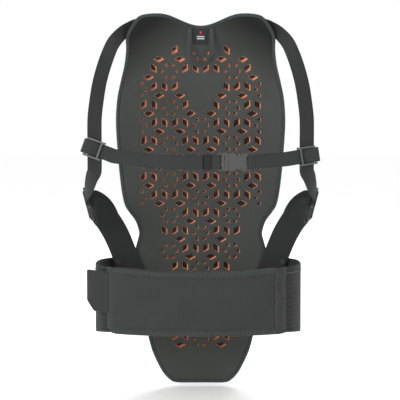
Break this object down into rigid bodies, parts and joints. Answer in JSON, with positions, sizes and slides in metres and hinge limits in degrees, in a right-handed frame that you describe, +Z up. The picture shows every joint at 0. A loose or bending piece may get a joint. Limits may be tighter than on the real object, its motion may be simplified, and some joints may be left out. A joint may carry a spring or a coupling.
{
  "type": "back protector",
  "caption": "Full-length soft back protector with a perforated impact plate, shoulder straps, a chest strap with side-release buckle and a wide kidney belt.",
  "frame": {"origin": "middle of the plate's body-side face, where the wearer's back rests", "axes": "+Z up towards the neck, -Y towards the wearer's front, +X to the right as seen from the front"},
  "size_m": [0.3382, 0.2009, 0.555],
  "materials": {
    "cover_fabric": "dark grey perforated knit, satin",
    "core_foam": "orange moulded foam, matte",
    "outer_fabric": "black abrasion-proof weave, matte",
    "binding": "ribbed binding tape with overlock stitching",
    "webbing": "woven polyester webbing, matte",
    "elastic": "wide woven elastic, matte",
    "belt_mesh": "honeycomb spacer mesh, matte",
    "hook_loop": "hook-and-loop tape",
    "buckle_plastic": "satin acetal",
    "label": "woven label, plain"
  },
  "bodies": {
    "root": {"inner_cover": "cover_fabric", "impact_core": "core_foam", "outer_cover": "outer_fabric", "edge_binding": "binding", "spine_panel": "outer_fabric", "shoulder_anchor_left": "outer_fabric", "shoulder_anchor_right": "outer_fabric", "shoulder_strap_left": "webbing", "shoulder_strap_right": "webbing", "side_strap_left": "elastic", "side_strap_right": "elastic", "strap_rivets": "buckle_plastic", "belt_back_panel": "belt_mesh", "belt_wing_left": "elastic", "belt_wing_right": "elastic", "belt_join_strip": "binding", "loop_patch": "hook_loop", "neck_label": "label"},
    "chest": {"chest_strap_left": "webbing", "chest_strap_right": "webbing", "chest_slider_left": "buckle_plastic", "chest_slider_right": "buckle_plastic", "buckle_socket": "buckle_plastic"},
    "plug": {"buckle_plug": "buckle_plastic", "chest_strap_tail": "webbing", "strap_keeper": "elastic"},
    "latch_upper": {"buckle_latch_upper": "buckle_plastic"},
    "latch_lower": {"buckle_latch_lower": "buckle_plastic"},
    "belt_front": {"belt_front_panel": "belt_mesh", "hook_tab": "hook_loop"},
    "hanger": {"hang_loop": "webbing"},
    "adjuster_left": {"side_adjuster_left": "buckle_plastic", "strap_end_left": "webbing"},
    "adjuster_right": {"side_adjuster_right": "buckle_plastic", "strap_end_right": "webbing"}
  },
  "joints": [
    {"name": "chest_height", "type": "slide", "parent": "root", "child": "chest", "axis": [0, 0, 1], "range_m": [-0.008, 0.02]},
    {"name": "buckle_release", "type": "slide", "parent": "chest", "child": "plug", "axis": [-1, 0, 0], "range_m": [0, 0.022]},
    {"name": "latch_upper_squeeze", "type": "hinge", "parent": "plug", "child": "latch_upper", "pos_m": [0.0399, -0.16, 0.0702], "axis": [0, 1, 0], "range_deg": [0, 7], "stiffness_Nm_per_rad": 0.2},
    {"name": "latch_lower_squeeze", "type": "hinge", "parent": "plug", "child": "latch_lower", "pos_m": [0.0399, -0.16, 0.0578], "axis": [0, -1, 0], "range_deg": [0, 7], "stiffness_Nm_per_rad": 0.2},
    {"name": "belt_open", "type": "hinge", "parent": "root", "child": "belt_front", "pos_m": [0.10531, -0.15238, -0.1335], "axis": [0, 0, 1], "range_deg": [0, 120]},
    {"name": "hang_loop_swing", "type": "hinge", "parent": "root", "child": "hanger", "pos_m": [0, -0.0186, 0.256], "axis": [-1, 0, 0], "range_deg": [0, 150]},
    {"name": "adjuster_left_tilt", "type": "hinge", "parent": "root", "child": "adjuster_left", "pos_m": [-0.16009, -0.08521, -0.0042], "axis": [0.25, -0.6286, -0.7365], "range_deg": [0, 20]},
    {"name": "adjuster_right_tilt", "type": "hinge", "parent": "root", "child": "adjuster_right", "pos_m": [0.16009, -0.08521, -0.0042], "axis": [0.25, 0.6286, 0.7365], "range_deg": [0, 20]}
  ]
}
